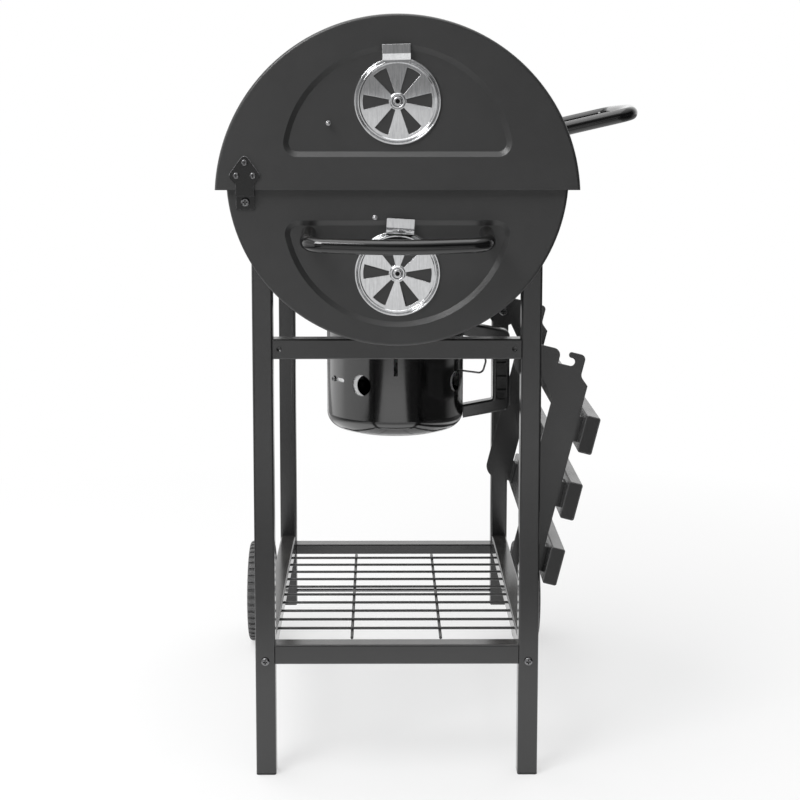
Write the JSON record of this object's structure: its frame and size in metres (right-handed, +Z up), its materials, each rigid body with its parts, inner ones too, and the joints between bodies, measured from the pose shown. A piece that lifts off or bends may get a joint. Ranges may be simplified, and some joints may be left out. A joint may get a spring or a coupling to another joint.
{
  "type": "barrel charcoal smoker cart",
  "caption": "Barrel charcoal grill smoker on a wheeled cart, with hinged lid, turning air vents, ash pot, folding slatted front shelf and wire storage rack.",
  "frame": {"origin": "on the floor under the middle of the barrel: half way between the leg pairs along X and between the front and back legs along Y", "axes": "+X along the barrel from the handle end to the wheel end, +Y from the front (lid handle and shelf) to the back (hinges), +Z up"},
  "size_m": [0.8291, 0.6191, 1.0591],
  "materials": {
    "barrel_paint": "satin charcoal powder coat",
    "frame_paint": "satin charcoal powder coat",
    "wire_paint": "satin black coat",
    "handle_gloss": "gloss black coat",
    "enamel": "gloss black enamel",
    "vent_plate": "bright plated",
    "galvanised": "bright galvanised",
    "fastener": "zinc plated, darkened",
    "slat_paint": "satin dark grey coat",
    "plug_plastic": "moulded black plastic",
    "wheel_plastic": "moulded black plastic",
    "grip_plastic": "moulded black phenolic",
    "grate_wire": "plated wire",
    "coal_plate": "bare dark steel",
    "gauge_steel": "brushed stainless",
    "gauge_face": "printed white dial",
    "gauge_needle": "red paint",
    "gauge_glass": "clear"
  },
  "bodies": {
    "cart": {"air_sleeve": "galvanised", "axle": "fastener", "axle_fittings": "fastener", "barrel_bolts": "fastener", "barrel_handle": "handle_gloss", "barrel_pan_handle_end": "barrel_paint", "barrel_pan_wheel_end": "barrel_paint", "barrel_shell": "barrel_paint", "barrel_stud": "vent_plate", "barrel_vent_rivets": "fastener", "foot_plugs": "plug_plastic", "frame_bolts": "fastener", "grate_ledges": "barrel_paint", "guide_screws": "fastener", "hinge_pins": "fastener", "leg_standing_back": "frame_paint", "leg_standing_front": "frame_paint", "leg_wheel_back": "frame_paint", "leg_wheel_front": "frame_paint", "lower_bar_handle_end": "frame_paint", "lower_bar_wheel_end": "frame_paint", "shelf_bolts": "fastener", "side_rail_back": "frame_paint", "side_rail_front": "frame_paint", "storage_rack": "wire_paint", "upper_bar_handle_end": "frame_paint", "upper_bar_wheel_end": "frame_paint"},
    "lid": {"lid_shell": "barrel_paint", "lid_pan_handle_end": "barrel_paint", "lid_pan_wheel_end": "barrel_paint", "lid_handle": "handle_gloss", "lid_stud": "vent_plate", "lid_vent_rivets": "fastener", "hinge_plate_handle_end": "barrel_paint", "hinge_plate_wheel_end": "barrel_paint", "hinge_screws": "fastener", "thermometer_bezel": "gauge_steel", "thermometer_dial": "gauge_face", "thermometer_glass": "gauge_glass", "thermometer_stem": "gauge_steel"},
    "needle": {"thermometer_needle": "gauge_needle"},
    "shelf": {"shelf_bracket_handle_end": "frame_paint", "shelf_bracket_wheel_end": "frame_paint", "slat_upper": "slat_paint", "slat_middle": "slat_paint", "slat_lower": "slat_paint", "slat_plugs": "plug_plastic"},
    "pot": {"ash_pot": "enamel", "pot_handle": "grip_plastic", "pot_loop": "fastener"},
    "front_wheel": {"wheel_front": "wheel_plastic"},
    "back_wheel": {"wheel_back": "wheel_plastic"},
    "barrel_vent_near": {"barrel_vent_handle_end": "vent_plate"},
    "barrel_vent_far": {"barrel_vent_wheel_end": "vent_plate"},
    "lid_vent_near": {"lid_vent_handle_end": "vent_plate"},
    "lid_vent_far": {"lid_vent_wheel_end": "vent_plate"},
    "grate_near": {"cooking_grate_handle_end": "grate_wire"},
    "grate_far": {"cooking_grate_wheel_end": "grate_wire"},
    "coal_grate": {"charcoal_grate": "coal_plate"}
  },
  "joints": [
    {"name": "lid_hinge", "type": "hinge", "parent": "cart", "child": "lid", "pos_m": [0, 0.201, 0.814], "axis": [-1, 0, 0], "range_deg": [0, 90]},
    {"name": "shelf_hinge", "type": "hinge", "parent": "cart", "child": "shelf", "pos_m": [0, -0.189, 0.587], "axis": [-1, 0, 0], "range_deg": [0, 104]},
    {"name": "pot_turn", "type": "hinge", "parent": "cart", "child": "pot", "pos_m": [0, 0, 0.521], "axis": [0, 0, 1], "range_deg": [-13, 0]},
    {"name": "front_wheel_spin", "type": "hinge", "parent": "cart", "child": "front_wheel", "pos_m": [0.2965, -0.232, 0.087], "axis": [0, 1, 0], "continuous": true},
    {"name": "back_wheel_spin", "type": "hinge", "parent": "cart", "child": "back_wheel", "pos_m": [0.2965, 0.232, 0.087], "axis": [0, 1, 0], "continuous": true},
    {"name": "barrel_vent_near_turn", "type": "hinge", "parent": "cart", "child": "barrel_vent_near", "pos_m": [-0.3655, 0, 0.7185], "axis": [1, 0, 0], "range_deg": [0, 30]},
    {"name": "barrel_vent_far_turn", "type": "hinge", "parent": "cart", "child": "barrel_vent_far", "pos_m": [0.3655, 0, 0.7185], "axis": [-1, 0, 0], "range_deg": [0, 30]},
    {"name": "lid_vent_near_turn", "type": "hinge", "parent": "lid", "child": "lid_vent_near", "pos_m": [-0.3755, 0, 0.946], "axis": [1, 0, 0], "range_deg": [0, 30]},
    {"name": "lid_vent_far_turn", "type": "hinge", "parent": "lid", "child": "lid_vent_far", "pos_m": [0.3755, 0, 0.946], "axis": [-1, 0, 0], "range_deg": [0, 30]},
    {"name": "grate_near_lift", "type": "slide", "parent": "cart", "child": "grate_near", "axis": [0, 0, 1], "range_m": [0, 0.05]},
    {"name": "grate_far_lift", "type": "slide", "parent": "cart", "child": "grate_far", "axis": [0, 0, 1], "range_m": [0, 0.05]},
    {"name": "coal_grate_lift", "type": "slide", "parent": "cart", "child": "coal_grate", "axis": [0, 0, 1], "range_m": [0, 0.05]},
    {"name": "needle_turn", "type": "hinge", "parent": "lid", "child": "needle", "pos_m": [0, -0.14745, 1.00673], "axis": [0, 0.6157, -0.788], "range_deg": [0, 270]}
  ]
}
